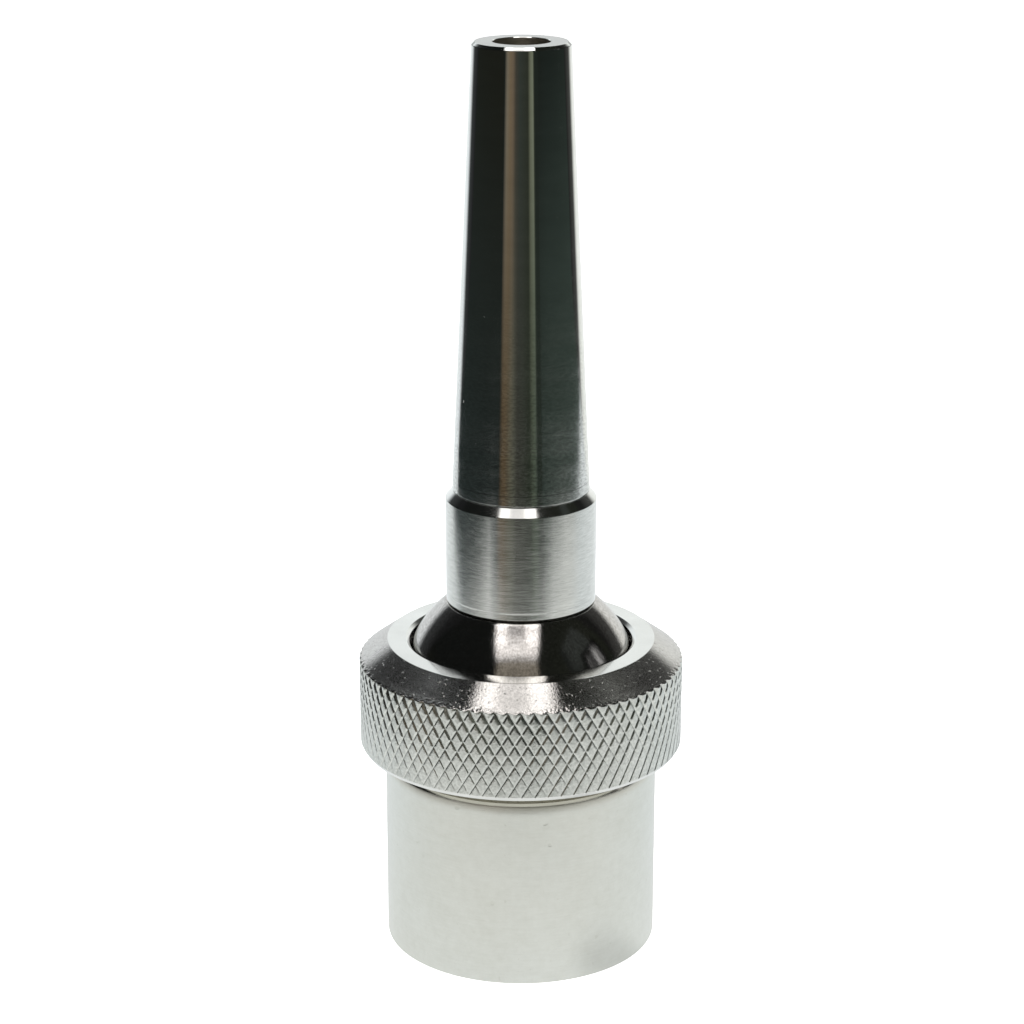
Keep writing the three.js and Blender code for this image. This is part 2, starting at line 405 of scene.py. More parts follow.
def brushed_steel():
    """Brushed round the axis, so highlights stretch up and down."""
    material, n, inputs = principled("brushed_steel")
    hairs = n.noise(n.scaled(1, 1, 14), 520, 2, 0.7)
    fine = n.noise(n.scaled(1, 1, 4), 1500, 3)
    broad = n.noise(n.scaled(1, 1, 5), 90, 3)
    rough = n.math("ADD", n.remap(hairs, 0.3, 0.7, 0.14, 0.175), n.remap(broad, 0.3, 0.7, -0.015, 0.015))
    normal = n.bump(fine, 0.0018 * MM, n.bump(hairs, 0.003 * MM))
    steel = n.blend(n.remap(hairs, 0.32, 0.68, 0, 1), (0.52, 0.535, 0.51), (0.685, 0.70, 0.675))
    fill(n, inputs, Base_Color=steel, Metallic=1.0, Roughness=rough, Anisotropic=0.9,
         Anisotropic_Rotation=0.25, Tangent=n.around_axis(), Normal=normal)
    return material


def mirror_steel():
    """The ball: polished, with a faint haze that stretches up and down."""
    material, n, inputs = principled("mirror_steel")
    haze = n.noise(n.scaled(1, 1, 1), 150, 5)
    streaks = n.noise(n.scaled(1, 1, 0.06), 3400, 4, 0.7)
    spangle = n.noise(n.scaled(1, 1, 1), 2600, 2)
    normal = n.bump(spangle, 0.004 * MM, n.bump(streaks, 0.007 * MM))
    speckle = n.remap(n.math("ADD", streaks, spangle), 0.8, 1.2, 0, 1)
    fill(n, inputs, Base_Color=n.blend(speckle, (0.44, 0.425, 0.405), (0.66, 0.645, 0.625)),
         Metallic=1.0, Specular_Tint=(0.8, 0.8, 0.8), Roughness=n.remap(haze, 0.35, 0.7, 0.07, 0.12),
         Anisotropic=0.9, Anisotropic_Rotation=0.25, Tangent=n.around_axis(), Normal=normal)
    return material


def polished_steel():
    """The jet: mirror bright at the tip, hazier and specked towards its base, with dust and fine rings."""
    material, n, inputs = principled("polished_steel")
    haze_top, haze_bottom = 104 * MM, 69 * MM
    towards_base = n.remap(n.axis("Z"), haze_top, haze_bottom, 0, 1)
    haze = n.noise(n.scaled(1, 1, 3), 130, 5)
    rings = n.noise(n.scaled(0.05, 0.05, 1), 170, 3, 0.7)
    lines = n.noise(n.scaled(1, 1, 40), 90, 5, 0.75)
    dust = n.remap(n.noise(n.scaled(1, 1, 0.7), 1050, 1), 0.80, 0.83, 0, 1)
    # Painted shade: a thin dark ring at the tool mark's height stands in for the shade in its fine groove,
    # which the mesh doesn't have.
    off_mark = n.math("ABSOLUTE", n.math("SUBTRACT", n.axis("Z"), TOOL_MARK * MM))
    painted_groove_shade = n.remap(off_mark, 0.03 * MM, 0.09 * MM, 0.45, 0)
    rough = n.math("ADD", n.remap(haze, 0.3, 0.7, 0.05, 0.08), n.math("MULTIPLY", towards_base, 0.05))
    rough = n.math("ADD", rough, n.remap(rings, 0.45, 0.7, 0, 0.06))
    rough = n.math("ADD", rough, n.math("MULTIPLY", dust, 0.5))
    line_height = n.math("MULTIPLY", lines, n.remap(towards_base, 0, 1, 0.25, 1))
    normal = n.bump(dust, 0.01 * MM, n.bump(line_height, 0.0018 * MM))
    steel = n.blend(n.remap(haze, 0.3, 0.7, 0, 1), (0.585, 0.60, 0.58), (0.655, 0.67, 0.65))
    speck = n.remap(n.noise(n.scaled(1, 1, 3), 1500, 3), 0.42, 0.62, 0, 0.75)
    steel = n.blend(n.math("MULTIPLY", speck, towards_base), steel, (0.35, 0.36, 0.345))
    # Darkens the colour in the painted ring of groove shade.
    steel = n.blend(painted_groove_shade, steel, (0.1, 0.1, 0.1))
    steel = n.blend(dust, steel, (0.55, 0.55, 0.53))
    fill(n, inputs, Base_Color=steel, Metallic=n.remap(dust, 0, 1, 1, 0.2), Roughness=rough,
         Anisotropic=0.85, Anisotropic_Rotation=0.25, Tangent=n.around_axis(), Normal=normal)
    return material


def bored_steel():
    """The drilled outlet, left as machined. Its rough finish is real; its brown tint is a painted
    reflection.
    """
    material, n, inputs = principled("bored_steel")
    lines = n.noise(n.scaled(1, 1, 30), 260, 3)
    fill(n, inputs, Base_Color=n.blend(lines, (0.40, 0.37, 0.31), (0.56, 0.53, 0.46)), Metallic=1.0,
         Roughness=n.remap(lines, 0.3, 0.7, 0.42, 0.55), Normal=n.bump(lines, 0.01 * MM))
    return material


def moulded(name, colour_low, colour_high, roughness, grain, height):
    """Rubber or plastic: slightly uneven colour and a fine moulded or machined grain."""
    material, n, inputs = principled(name)
    cloud = n.noise(n.scaled(1, 1, 1), 150, 4)
    fine = n.noise(n.scaled(1, 1, 4), grain, 3)
    fill(n, inputs, Base_Color=n.blend(n.remap(cloud, 0.3, 0.7, 0, 1), colour_low, colour_high),
         Roughness=n.remap(fine, 0.3, 0.7, *roughness), Normal=n.bump(fine, height * MM))
    return material


SATIN = satin_steel()
KNURLED = knurled_steel()
TURNED = turned_steel()
FACED = faced_steel("faced_steel", (0.64, 0.65, 0.63), (0.72, 0.73, 0.71))
# The rim material's warm cream colour is a painted reflection, not the steel's own colour.
RIM_PAINTED_REFLECTION = faced_steel("rim_steel_painted_reflection", (0.60, 0.585, 0.51), (0.66, 0.645, 0.57))
BRUSHED = brushed_steel()
MIRROR = mirror_steel()
POLISHED = polished_steel()
BORE = bored_steel()
RUBBER = moulded("rubber_black", (0.018, 0.018, 0.019), (0.032, 0.032, 0.034), (0.55, 0.75), 2200, 0.01)
WHITE_PLASTIC = moulded("white_plastic", (0.78, 0.77, 0.73), (0.86, 0.85, 0.82), (0.35, 0.5), 1500, 0.006)
VANE_PLASTIC = moulded("vane_plastic", (0.06, 0.062, 0.066), (0.09, 0.092, 0.096), (0.4, 0.55), 1500, 0.006)


# ---------------------------------------------------------------- pieces

def finish_piece(obj, body, node, slot, *materials):
    """Gives a piece its materials and its body, and hides the CAD node it stands for. The slot is not used.
    """
    for material in materials:
        obj.data.materials.append(material)
    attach(obj, body)
    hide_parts(node)


def body_socket():
    """The socket, from its outside over the neck and down through the ball's seat to the inlet thread."""
    wall_top = 26.2
    bevel_outer, bevel_inner = BODY_RADIUS - 0.14, BODY_RADIUS - 0.37
    bevel_low, bevel_high = BODY_SHOULDER - 0.39, BODY_SHOULDER - 0.02
    relief_radius, relief_top = 18.8, 30.1
    major = NECK_THREAD["major"]
    thread_low, thread_high = relief_top + 0.3, NECK_TOP - 0.5
    thread_end = major - NECK_THREAD["depth"] - 0.2
    mouth, mouth_floor = 17.85, 33.2
    seat_bore, seat_bore_top, seat_floor = SEAT_RADIUS + 0.3, 31.8, 23.3
    groove_outer, groove_inner, groove_floor = 16.2, 13.8, 21.2
    passage, passage_bottom = 10.5, 17.5
    washer_room = 16.8
    minor = INLET_THREAD["minor"]
    inlet_low, inlet_top = 1.9, 15.0

    def threads(angles, radius, height):
        """Cuts each thread into the rows that lie on its own radius, which are in single precision."""
        if abs(radius - major) < 0.001 and thread_low <= height <= thread_high:
            root = 1 - thread_wave(angles, height, NECK_THREAD["pitch"])
            return radius - NECK_THREAD["depth"] * root
        if abs(radius - minor) < 0.001 and height <= inlet_top:
            root = thread_wave(angles, height, INLET_THREAD["pitch"])
            return radius + INLET_THREAD["depth"] * root * fade(height, -2, inlet_top + 0.3, 0.6)
        return radius

    outline = rounded([
        (BODY_RADIUS, BODY_BOTTOM, 0.28),
        (BODY_RADIUS, wall_top, 0.8),
        *((BODY_RADIUS - SHOULDER_CURVE * (1 - math.cos(a)), wall_top + SHOULDER_CURVE * math.sin(a), 0)
          for a in (math.radians(degrees) for degrees in range(1, 9))),
        (bevel_outer, bevel_low, 0.03),
        (bevel_inner, bevel_high, 0.04),
        (relief_radius, BODY_SHOULDER, 0.12),
        (relief_radius, relief_top, 0.1),
        (thread_end, relief_top, 0.1),
        *((r, z, 0) for r, z in rows_between(major, thread_low, thread_high, 0.1)),
        (thread_end, NECK_TOP, 0.1),
        (mouth, NECK_TOP, 0.1),
        (mouth, mouth_floor, 0.1),
        (seat_bore, seat_bore_top, 0.1),
        (seat_bore, seat_floor, 0.05),
        (groove_outer, seat_floor, 0.1),
        (groove_outer, groove_floor, 0.1),
        (groove_inner, groove_floor, 0.1),
        (groove_inner, seat_floor, 0.1),
        (passage, seat_floor, 0.15),
        (passage, passage_bottom, 0.15),
        (washer_room, passage_bottom, 0.05),
        (washer_room, inlet_top + 0.4, 0.1),
        *((r, z, 0) for r, z in rows_between(minor, inlet_top, inlet_low, 0.14)),
        (washer_room + 0.4, BODY_BOTTOM, 0.1),
    ])
    obj = revolve("socket_body", outline, 288, threads)
    finish_piece(obj, "socket", "body_socket", "satin_steel", SATIN, RIM_PAINTED_REFLECTION)
    # The socket's top bevel gets the rim material, whose cream colour is a painted reflection.
    for face in obj.data.polygons:
        out, up = face.center.xy.length / MM, face.center.z / MM
        if bevel_inner - 0.03 < out < bevel_outer - 0.01 and up > bevel_low + 0.01:
            face.material_index = 1


def inlet_washer():
    inner = 11.2
    obj = revolve("inlet_washer_rubber", rounded([
        (inner, WASHER_BOTTOM, 0.2),
        (WASHER_RADIUS, WASHER_BOTTOM, 0.2),
        (WASHER_RADIUS, WASHER_TOP, 0.2),
        (inner, WASHER_TOP, 0.2),
    ]), 128)
    finish_piece(obj, "socket", "inlet_washer", "rubber_black", RUBBER)


def o_ring(node, body):
    low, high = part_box(node)
    section = (high.z - low.z) / MM / 2
    centre_z = (high.z + low.z) / MM / 2
    ring = high.x / MM - section
    angles = [2 * math.pi * k / 24 for k in range(24)]
    outline = [(ring + section * math.cos(a), centre_z + section * math.sin(a)) for a in angles]
    obj = revolve(node + "_rubber", outline, 128)
    finish_piece(obj, body, node, "rubber_black", RUBBER)


def ball_seat_ring():
    inner = 12.2
    cup = BALL_RADIUS + 0.3
    cup_low = BALL_CENTRE - math.sqrt(cup ** 2 - inner ** 2)
    obj = revolve("seat_ring", [
        (inner, SEAT_BOTTOM + 0.2),
        (inner + 0.2, SEAT_BOTTOM),
        (SEAT_RADIUS - 0.2, SEAT_BOTTOM),
        (SEAT_RADIUS, SEAT_BOTTOM + 0.2),
        (SEAT_RADIUS, SEAT_TOP - 0.05),
        (SEAT_RADIUS - 0.05, SEAT_TOP),
        *arc(cup, BALL_CENTRE, SEAT_TOP, cup_low, 24),
    ], 192)
    finish_piece(obj, "seat", "ball_seat_ring", "white_plastic", WHITE_PLASTIC)


def swivel_ball():
    """The bored ball and its stub. The stub's visible foot fills the gap under the sleeve."""
    bore, bore_top = 9.0, 40
    stub_bore, stub_bore_bottom = 6.0, 48
    stub, stub_low = 8.5, 54.7
    root = stub - 0.5
    foot = root + 1.75
    top_radius = math.sqrt(BALL_RADIUS ** 2 - (BALL_TOP - BALL_CENTRE) ** 2)
    obj = revolve("polished_ball", [
        (bore, BALL_BOTTOM + 0.6),
        (bore + 0.6, BALL_BOTTOM),
        *arc(BALL_RADIUS, BALL_CENTRE, BALL_BOTTOM, BALL_TOP - 0.06, 96),
        (top_radius - 0.08, BALL_TOP),
        (foot + 0.15, BALL_TOP),
        (foot, BALL_TOP + 0.15),
        (foot, SLEEVE_BOTTOM - 0.02),
        (root, SLEEVE_BOTTOM - 0.02),
        (root, stub_low - 0.5),
        (stub, stub_low),
        (stub, STUB_TOP - 0.4),
        (stub - 0.4, STUB_TOP),
        (stub_bore + 0.1, STUB_TOP),
        (stub_bore, STUB_TOP - 0.1),
        (stub_bore, stub_bore_bottom),
        (bore, bore_top),
    ], 288)
    finish_piece(obj, "ball", "swivel_ball", "mirror_steel", MIRROR)


def clamp_ring():
    cup = BALL_RADIUS + 0.3
    obj = revolve("slip_ring", [
        (CLAMP_RADIUS - 0.2, CLAMP_BOTTOM),
        (CLAMP_RADIUS, CLAMP_BOTTOM + 0.2),
        (CLAMP_RADIUS, CLAMP_TOP - 0.2),
        (CLAMP_RADIUS - 0.2, CLAMP_TOP),
        *arc(cup, BALL_CENTRE, CLAMP_TOP, CLAMP_BOTTOM, 20),
    ], 192)
    finish_piece(obj, "clamp", "clamp_ring", "white_plastic", WHITE_PLASTIC)


def knurl_radius(angles, height):
    """Two families of V grooves that cross and leave slightly crowned diamonds.

    The tool was pressed harder towards the top, where it bit into the chamfer, and its right-hand wheel
    cut more evenly."""
    rise = min(max((height - KNURL_LOW) / (KNURL_HIGH - KNURL_LOW), 0), 1)
    bite = 0.12 * min(max((height - KNURL_HIGH + 0.7) / 0.7, 0), 1)
    turn = np.asarray(angles) * KNURL_STARTS / (2 * np.pi)
    climb = (height - KNURL_LOW) / (KNURL_HIGH - KNURL_LOW) * KNURL_ROWS / 2
    left = np.abs((turn + climb + 0.5) % 1 - 0.5)
    right = np.abs((turn - climb + 0.5) % 1 - 0.5)
    left_cut = GROOVE_SLOPE * np.clip(0.01 + 0.22 * rise + bite - left, 0, 1)
    right_cut = GROOVE_SLOPE * np.clip(0.09 + 0.07 * rise + bite - right, 0, 1)
    crown = 0.02 * (1 - 2 * np.minimum(left, right)) ** 2
    return NUT_RADIUS - np.maximum(left_cut, right_cut) - crown


def knurl_band(shell):
    """Points on a lattice that follows both groove families. Returns the bottom and top rings."""
    steps = len(KNURL_STEPS)
    around = KNURL_STARTS * steps
    tall = KNURL_ROWS * steps

    def lattice(i):
        return i // steps + KNURL_STEPS[i % steps]

    index = {}
    for j in range(around):
        for k in range(tall + 1):
            u, v = lattice(j + k), lattice(j)
            angle = (u + v) / 2 * 2 * math.pi / KNURL_STARTS
            height = KNURL_LOW + (u - v) * (KNURL_HIGH - KNURL_LOW) / KNURL_ROWS
            radius = float(knurl_radius(angle, height))
            index[j, k] = len(shell.points)
            shell.points.append((radius * math.cos(angle), radius * math.sin(angle), height))
    for j in range(around):
        after = (j + 1) % around
        shell.faces.append((index[j, 0], index[after, 0], index[j, 1]))
        for k in range(1, tall):
            shell.faces.append((index[j, k], index[after, k - 1], index[after, k], index[j, k + 1]))
        shell.faces.append((index[j, tall], index[after, tall - 1], index[after, tall]))
    shift = tall // 2
    bottom = [index[j, 0] for j in range(around)]
    top = [index[(j - shift) % around, tall] for j in range(around)]
    return bottom, top


def knurled_nut():
    """The lock nut: its bevel, knurl, chamfer and flat face outside, then its lip and thread inside."""
    face_outer, face_inner, opening = 19.51, 16.8, 16.35
    bore, ceiling = 19.8, 44.5
    mouth = 20.6
    slope = (NUT_RADIUS - face_outer) / (NUT_TOP - KNURL_HIGH)
    thread_low, thread_high = NUT_BOTTOM + 0.9, 38.6
    major = NUT_THREAD["major"]
    fine = np.array([start + step for start in range(KNURL_STARTS) for step in KNURL_STEPS])
    fine = fine * 2 * np.pi / KNURL_STARTS
    coarse = fine[::4]
    shell = Shell()

    def outside(radius, height):
        return shell.ring(np.minimum(radius, knurl_radius(fine, height)), height, fine)

    def inside(radius, height):
        if radius == major and thread_low <= height <= thread_high:
            crest = 1 - thread_wave(coarse, height, NECK_THREAD["pitch"])
            run_out = fade(height, thread_low - 0.3, thread_high + 0.3, 0.6)
            radius = radius - NUT_THREAD["depth"] * crest * run_out
        return shell.ring(radius, height, coarse)

    bevel = [(0.44, 0), (0.36, 0), (0.325, 0.012), (0.305, 0.045), (0.285, 0.08)]
    bevel += [(0.285 - 0.051 * k, 0.08 + 0.09 * k) for k in range(1, 6)]
    low_edge = [outside(NUT_RADIUS - inset, NUT_BOTTOM + rise) for inset, rise in bevel]
    bottom, top = knurl_band(shell)
    bitten_rows = (0.03, 0.06, 0.1, 0.15, 0.2, 0.26, 0.32)
    chamfer = [(NUT_RADIUS - slope * rise, KNURL_HIGH + rise) for rise in bitten_rows]
    chamfer += [
        (face_outer + 0.16, NUT_TOP - 0.16 / slope),
        (face_outer + 0.10, NUT_TOP - 0.10 / slope),
        (face_outer + 0.03, NUT_TOP - 0.015),
        (face_outer - 0.05, NUT_TOP),
        (face_outer - 0.08, NUT_TOP),
    ]
    upper = [outside(r, z) for r, z in chamfer]
    inner = [
        (face_inner + 0.08, NUT_TOP),
        (face_inner + 0.04, NUT_TOP),
        (face_inner - 0.02, NUT_TOP - 0.03),
        (opening, NUT_TOP - 0.45),
        (opening, NUT_TOP - 0.75),
        (face_inner, ceiling),
        (bore, ceiling),
        (bore, thread_high + 0.6),
        (major, thread_high + 0.3),
        *rows_between(major, thread_high, thread_low, 0.1),
        (mouth - 0.1, NUT_BOTTOM + 0.2),
        (mouth, NUT_BOTTOM),
    ]
    lower = [inside(r, z) for r, z in inner]
    shell.join_all([*low_edge, bottom])
    shell.join_all([top, *upper, *lower, low_edge[0]])
    obj = shell.build("lock_nut", sharp=20)
    finish_piece(obj, "nut", "knurled_nut", "turned_steel", KNURLED, TURNED, FACED)
    for face in obj.data.polygons:
        out, up = face.center.xy.length / MM, face.center.z / MM
        if out < face_outer + 0.02 or up < KNURL_LOW:
            face.material_index = 2
        elif up > KNURL_HIGH + 0.02 or out < NUT_RADIUS - 0.5:
            face.material_index = 1


def neck_sleeve():
    """The brushed sleeve, with a faint turned step near its foot and a faced bevel under the jet."""
    step_height, shoulder = 53.35, 67.76
    band = SLEEVE_RADIUS - 0.035
    lower_counterbore, lower_counterbore_top = 9.8, 54.0
    upper_counterbore, upper_counterbore_floor = 9.0, 67.2
    stub_hole, spigot_hole = 8.8, 8.3
    obj = revolve("neck_sleeve_brushed", rounded([
        (lower_counterbore, SLEEVE_BOTTOM, 0.08),
        (band, SLEEVE_BOTTOM, 0.1),
        (band, step_height, 0.02),
        (SLEEVE_RADIUS, step_height + 0.25, 0.02),
        (SLEEVE_RADIUS, shoulder, 0.1),
        (JET_BASE_RADIUS - 0.08, SLEEVE_TOP, 0.06),
        (upper_counterbore, SLEEVE_TOP, 0.06),
        (upper_counterbore, upper_counterbore_floor, 0.06),
        (spigot_hole, upper_counterbore_floor, 0.06),
        (spigot_hole, STUB_TOP + 0.6, 0.06),
        (stub_hole, STUB_TOP + 0.6, 0.06),
        (stub_hole, lower_counterbore_top, 0.06),
        (lower_counterbore, lower_counterbore_top, 0.06),
    ]), 256)
    finish_piece(obj, "ball", "neck_sleeve", "brushed_steel", BRUSHED, FACED)
    for face in obj.data.polygons:
        if face.center.z > (shoulder + 0.1) * MM and face.center.xy.length > 9.5 * MM:
            face.material_index = 1


def jet_tube():
    """The tapered tube and the spigot under it. Its bore tapers too, up to the straight outlet."""
    base = SLEEVE_TOP + 0.02
    slope = (JET_BASE_RADIUS - JET_TIP_RADIUS) / (JET_TIP - SLEEVE_TOP)
    tip_edge = 0.42
    spigot, spigot_root, undercut_bottom = 8.0, 7.35, 66.9
    outlet_land, taper_start = 8, 92

    def cone(height):
        return JET_BASE_RADIUS - slope * (height - SLEEVE_TOP)

    obj = revolve("jet_tube_polished", rounded([
        (JET_BORE, SPIGOT_BOTTOM, 0.1),
        (spigot - 0.3, SPIGOT_BOTTOM, 0.05),
        (spigot, SPIGOT_BOTTOM + 0.3, 0.05),
        (spigot, undercut_bottom, 0.1),
        (spigot_root, undercut_bottom, 0.1),
        (spigot_root, base, 0.05),
        (cone(base) - 0.22, base, 0.02),
        (cone(base) - 0.22, base + 0.14, 0.02),
        (cone(base), base + 0.26, 0.03),
        (cone(JET_TIP - tip_edge), JET_TIP - tip_edge, 0.12),
        (JET_TIP_RADIUS - tip_edge, JET_TIP, 0.1),
        (OUTLET_RADIUS + 0.12, JET_TIP, 0.05),
        (OUTLET_RADIUS, JET_TIP - 0.12, 0.05),
        (OUTLET_RADIUS, JET_TIP - outlet_land, 0.3),
        (JET_BORE, taper_start, 0.3),
    ]), 256)
    finish_piece(obj, "ball", "jet_tube", "mirror_steel", POLISHED, BORE)
    for face in obj.data.polygons:
        if face.center.xy.length < (OUTLET_RADIUS + 0.02) * MM:
            face.material_index = 1


def carried_over(node, material):
    """A CAD node whose shape stays, with a better material."""
    obj = frame["nodes"][node]
    for slot in obj.material_slots:
        slot.material = material


body_socket()
inlet_washer()
o_ring("seat_o_ring", "socket")
ball_seat_ring()
swivel_ball()
clamp_ring()
knurled_nut()
neck_sleeve()
o_ring("neck_o_ring", "ball")
jet_tube()
o_ring("jet_o_ring", "ball")
carried_over("flow_straightener", VANE_PLASTIC)


# ---------------------------------------------------------------- studio

def flat_piece(name, corners):
    mesh = bpy.data.meshes.new(name)
    mesh.from_pydata(corners, [], [tuple(range(len(corners)))])
    return link_new(name, mesh)


def panel(name, corners, emission, falloffs=()):
    """A flat studio panel that is mirrored in the metal, but isn't seen by the camera.

    emission(n) gives its colour and strength. falloffs: (axis, full, dark) in metres. The panel is full
    on one side of full and dark past dark."""
    obj = flat_piece(name, corners)
    material = bpy.data.materials.new(name)
    material.use_nodes = True
    material.node_tree.nodes.clear()
    n = Nodes(material.node_tree)
    colour, level = emission(n)
    for axis, full, dark in falloffs:
        level = n.math("MULTIPLY", n.remap(n.axis(axis), dark, full, 0, 1, "SMOOTHSTEP"), level)
    light = n.node("ShaderNodeEmission", {"Color": colour, "Strength": level}, "Emission")
    n.feed(n.add("ShaderNodeOutputMaterial").inputs["Surface"], light)
    obj.data.materials.append(material)
    obj.visible_camera = False
    obj.visible_shadow = False
    return obj


def upright(y, x_low, x_high, z_low, z_high):
    """Corners of a panel that stands across the view."""
    return [(x_low, y, z_low), (x_high, y, z_low), (x_high, y, z_high), (x_low, y, z_high)]


def sideways(x, y_low, y_high, z_low, z_high):
    """Corners of a panel that stands along the view."""
    return [(x, y_low, z_low), (x, y_high, z_low), (x, y_high, z_high), (x, y_low, z_high)]


def white_surround():
    """The white table top round the object, and the sheet behind it, lit in the shape of an arch.

    The table has a dim spot close to the object. Above the arch, the sheet is lit in a column that widens
    upwards."""
    back, front = 0.22, -0.130
    edge = [(-0.148, front), (0.15, front), (0.225, -0.08), (0.25, 0), (0.30, back), (-0.225, back),
            (-0.15, 0.02)]
    spot_x, spot_y = 0.0175, -0.0165
    arch_middle, arch_half_width, arch_height = 0.009, 0.245, 0.175

    def sheet(n):
        right = n.math("SUBTRACT", n.axis("X"), spot_x)
        forward = n.math("SUBTRACT", n.axis("Y"), spot_y)
        tint = n.blend(n.remap(n.axis("Y"), -0.04, 0.03, 0, 1), (1, 1, 0.985), (0.965, 1, 1.02))
        return tint, n.remap(n.length(right, forward), 0.003, 0.011, 0.82, 1.03, "SMOOTHSTEP")

    table = panel("white_table", [(x, y, 0) for x, y in edge], sheet)
    table.visible_diffuse = False

    def arch(n):
        across = n.math("DIVIDE", n.math("SUBTRACT", n.axis("X"), arch_middle), arch_half_width)
        out = n.length(across, n.math("DIVIDE", n.axis("Z"), arch_height))
        lit = n.remap(out, 0.76, 1.2, 1.05, 0.0, "SMOOTHSTEP")
        halo = n.math("MULTIPLY", n.remap(out, 1.0, 2.3, 0.09, 0.014), n.remap(across, -1, 1, 0.7, 1))
        spread = n.remap(n.axis("Z"), 0.2, 0.5, 0.12, 0.24)
        beyond = n.math("SUBTRACT", n.math("ABSOLUTE", n.axis("X")), spread)
        column = n.remap(beyond, -0.02, 0.02, 1.4, 0.015, "SMOOTHSTEP")
        column = n.math("MULTIPLY", column, n.remap(n.axis("Z"), 0.15, 0.22, 0, 1, "SMOOTHSTEP"))
        tint = n.blend(n.remap(across, -0.8, 0.8, 0, 1), (0.955, 1, 1.035), (1, 1.005, 0.965))
        return tint, n.math("MAXIMUM", n.math("ADD", lit, halo), column)

    panel("white_back", upright(back, -0.5, 0.55, 0, 0.50), arch)


def room_in_front():
    """What stands before the object, as the polished cone mirrors it.

    A brown curtain on the left, the grey middle of the room, and the pale edge of a window on the right.
    Each list goes across the room, in metres."""
    left, right = -0.36, 0.32
    high = [
        (-0.340, (0.014, 0.018, 0.015)),
        (-0.300, (0.140, 0.125, 0.100)),
        (-0.265, (0.240, 0.200, 0.145)),
        (-0.200, (0.225, 0.165, 0.105)),
        (-0.150, (0.195, 0.145, 0.100)),
        (-0.095, (0.070, 0.063, 0.050)),
        (-0.030, (0.046, 0.054, 0.046)),
        (0.110, (0.036, 0.040, 0.029)),
        (0.150, (0.180, 0.190, 0.135)),
        (0.205, (0.245, 0.265, 0.195)),
        (0.226, (0.040, 0.046, 0.033)),
        (0.250, (0.021, 0.027, 0.023)),
    ]
    low = [
        (-0.345, (0.024, 0.030, 0.028)),
        (-0.290, (0.125, 0.085, 0.048)),
        (-0.230, (0.135, 0.095, 0.055)),
        (-0.190, (0.115, 0.098, 0.065)),
        (-0.150, (0.135, 0.130, 0.095)),
        (-0.105, (0.120, 0.122, 0.095)),
        (-0.055, (0.064, 0.063, 0.052)),
        (0.020, (0.058, 0.062, 0.050)),
        (0.115, (0.038, 0.047, 0.034)),
        (0.165, (0.080, 0.100, 0.072)),
        (0.205, (0.090, 0.115, 0.088)),
        (0.235, (0.032, 0.041, 0.033)),
    ]

    def view(n):
        upper = n.ramp_between(n.axis("X"), left, right, high)
        lower = n.ramp_between(n.axis("X"), left, right, low)
        return n.blend(n.remap(n.axis("Z"), -0.02, 0.085, 0, 1), lower, upper), 1.0

    panel("room", upright(-0.45, left, right, -0.25, 0.17), view)


def front_light():
    """The softbox over the front of the table, brighter along both sides, and the dim wall under it.

    It slopes down towards the room. levels says how bright it is at each height, in metres."""
    warm_white = (1, 0.965, 0.95)
    middle = -0.028
    left, right, top = -0.110, 0.080, 0.60
    rear, run_per_rise = 0.03, 1.031
    low, high = 0.30, 0.60
    levels = [(0.305, 0.30), (0.320, 0.75), (0.342, 1.50), (0.368, 1.50), (0.393, 0.98), (0.418, 1.22),
              (0.438, 0.56), (0.480, 0.56), (0.540, 1.96)]
    most = max(level for z, level in levels)
    greys = [(z, (level / most,) * 3) for z, level in levels]

    def softbox(n):
        off = n.math("ABSOLUTE", n.math("SUBTRACT", n.axis("X"), middle))
        sides = n.remap(off, 0.040, 0.078, 0, 1.2, "SMOOTHSTEP")
        sides = n.math("MULTIPLY", sides, n.remap(n.axis("Z"), 0.37, 0.40, 0, 1, "SMOOTHSTEP"))
        centre = n.math("MULTIPLY", n.ramp_between(n.axis("Z"), low, high, greys), most)
        return warm_white, n.math("ADD", centre, sides)

    edge = [(left, rear), (right, rear), (0.130, -0.005), (0.098, -0.275), (-0.156, -0.275),
            (-0.178, -0.005)]
    panel("softbox", [(x, y, top + (y - rear) / run_per_rise) for x, y in edge], softbox)
    level_part = [(left, rear, top), (right, rear, top), (right, 0.16, top), (left, 0.16, top)]
    panel("softbox_top", level_part, lambda n: (warm_white, 1.3))

    def dim_wall(n):
        return (0.30, 0.27, 0.225), n.remap(n.axis("Z"), 0.2, 0.46, 0.7, 1.1)

    panel("dim_wall", upright(-0.45, -0.26, 0.18, 0.17, 0.52), dim_wall,
          [("X", -0.22, -0.26), ("X", 0.14, 0.18), ("Z", 0.21, 0.17)])


def side_window():
    """A narrow window far on the right, with dark bars, and the wall that it faintly lights.

    panes says how bright the window is along its length, in metres."""
    panes = [(-0.12, 0), (-0.09, 0.05), (-0.082, 0.19), (-0.072, 0.19), (-0.066, 0.05), (-0.01, 0.09),
             (0.0, 0.49), (0.026, 0.62), (0.031, 0.11), (0.040, 0.08), (0.045, 0.32), (0.056, 0.30),
             (0.062, 0.05), (0.09, 0)]
    low, high = -0.13, 0.10
    window_x, wall_x = 0.45, 0.455

    def window(n):
        return n.ramp_between(n.axis("Y"), low, high, [(y, (level,) * 3) for y, level in panes]), 1.0

    panel("side_window", sideways(window_x, low, high, 0.15, 0.33), window, [("Z", 0.24, 0.32)])

    def glow(n):
        rise = n.remap(n.axis("Z"), 0.20, 0.32, 0, 1, "SMOOTHSTEP")
        along = n.remap(n.axis("Y"), -0.34, -0.20, 0, 1, "SMOOTHSTEP")
        return (0.9, 1.0, 0.93), n.remap(n.math("MULTIPLY", rise, along), 0, 1, 0.018, 0.048)

    panel("window_wall", sideways(wall_x, -0.34, 0.06, 0.20, 0.60), glow)


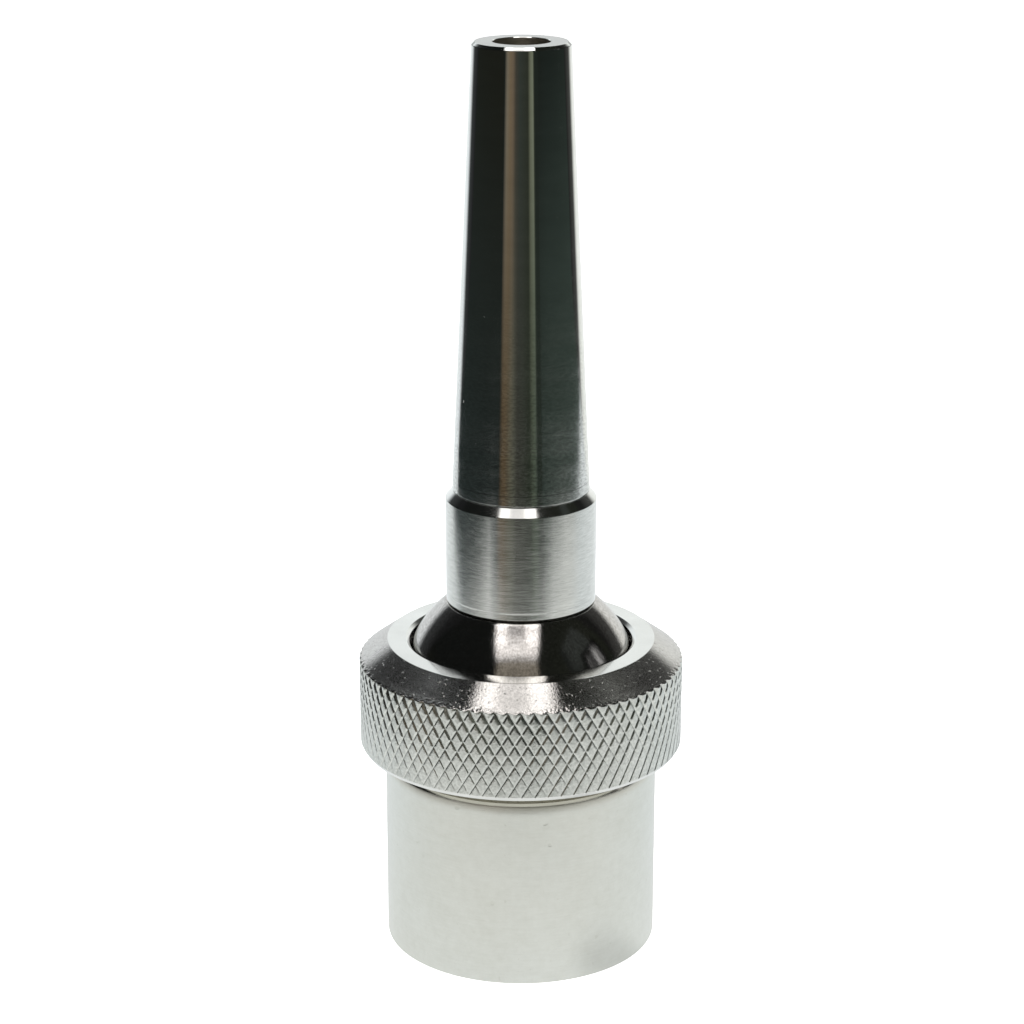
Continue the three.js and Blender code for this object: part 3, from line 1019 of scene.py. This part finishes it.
def floor():
    """Plain white paper as the camera sees it. The metal mirrors the table panel instead."""
    size = 4.0
    obj = flat_piece("floor", [(-size, -size, 0), (size, -size, 0), (size, size, 0), (-size, size, 0)])
    material, n, inputs = principled("floor_paper")
    fibre = n.noise(n.scaled(1, 1, 1), 900, 3)
    fill(n, inputs, Base_Color=n.blend(fibre, (0.86, 0.86, 0.86), (0.9, 0.9, 0.9)), Roughness=0.9,
         Emission_Color=(1.0, 1.0, 1.0), Emission_Strength=1.02)
    obj.data.materials.append(material)
    obj.visible_glossy = False


def soft_light(name, place, size, power):
    """A round lamp that faces the object and isn't mirrored in it."""
    light = bpy.data.lights.new(name, "AREA")
    light.shape = "DISK"
    light.size = size
    light.energy = power
    obj = link_new(name, light)
    obj.location = place
    obj.rotation_euler = (Vector((0, 0, 0.05)) - Vector(place)).to_track_quat("-Z", "Y").to_euler()
    obj.visible_glossy = False


def surroundings():
    """White where the camera looks past the object. The metal mirrors a dark room.

    The ramps go from low to high in it. It is less dark low on the right."""
    world = bpy.data.worlds.new("studio")
    bpy.context.scene.world = world
    world.use_nodes = True
    world.node_tree.nodes.clear()
    n = Nodes(world.node_tree)
    direction = n.add("ShaderNodeTexCoord").outputs["Generated"]
    rise = n.remap(n.axis("Z", direction), -0.3, 0.3, 0, 1)
    left = n.ramp(rise, [
        (0, (0.034, 0.046, 0.046)),
        (0.17, (0.024, 0.031, 0.029)),
        (0.42, (0.016, 0.016, 0.0115)),
        (1, (0.009, 0.010, 0.0095)),
    ])
    right = n.ramp(rise, [
        (0, (0.085, 0.105, 0.090)),
        (0.17, (0.055, 0.074, 0.064)),
        (0.42, (0.014, 0.018, 0.016)),
        (1, (0.020, 0.022, 0.017)),
    ])
    across = n.remap(n.axis("X", direction), -0.2, 0.8, 0, 1)
    dark = n.node("ShaderNodeBackground", {"Color": n.blend(across, left, right)}, "Background")
    white = n.node("ShaderNodeBackground", {"Color": (1.0, 1.0, 1.0)}, "Background")
    camera_ray = n.add("ShaderNodeLightPath").outputs["Is Camera Ray"]
    mix = n.node("ShaderNodeMixShader", {"Fac": camera_ray, 1: dark, 2: white}, "Shader")
    n.feed(n.add("ShaderNodeOutputWorld").inputs["Surface"], mix)


def camera():
    """The camera in front of the object and above it, looking a little down."""
    look_down = 17.67
    data = bpy.data.cameras.new("camera")
    data.lens = 95.24
    data.sensor_width = 36
    data.clip_start = 0.01
    data.clip_end = 20
    obj = link_new("camera", data)
    obj.location = (-0.0013, -0.3726, 0.1840)
    obj.rotation_euler = (math.radians(90 - look_down), 0, 0)
    bpy.context.scene.camera = obj


white_surround()
room_in_front()
front_light()
side_window()
floor()
soft_light("overhead", (0.1, -0.2, 0.9), 0.6, 6)
surroundings()
camera()
bpy.context.scene.view_settings.view_transform = "Standard"
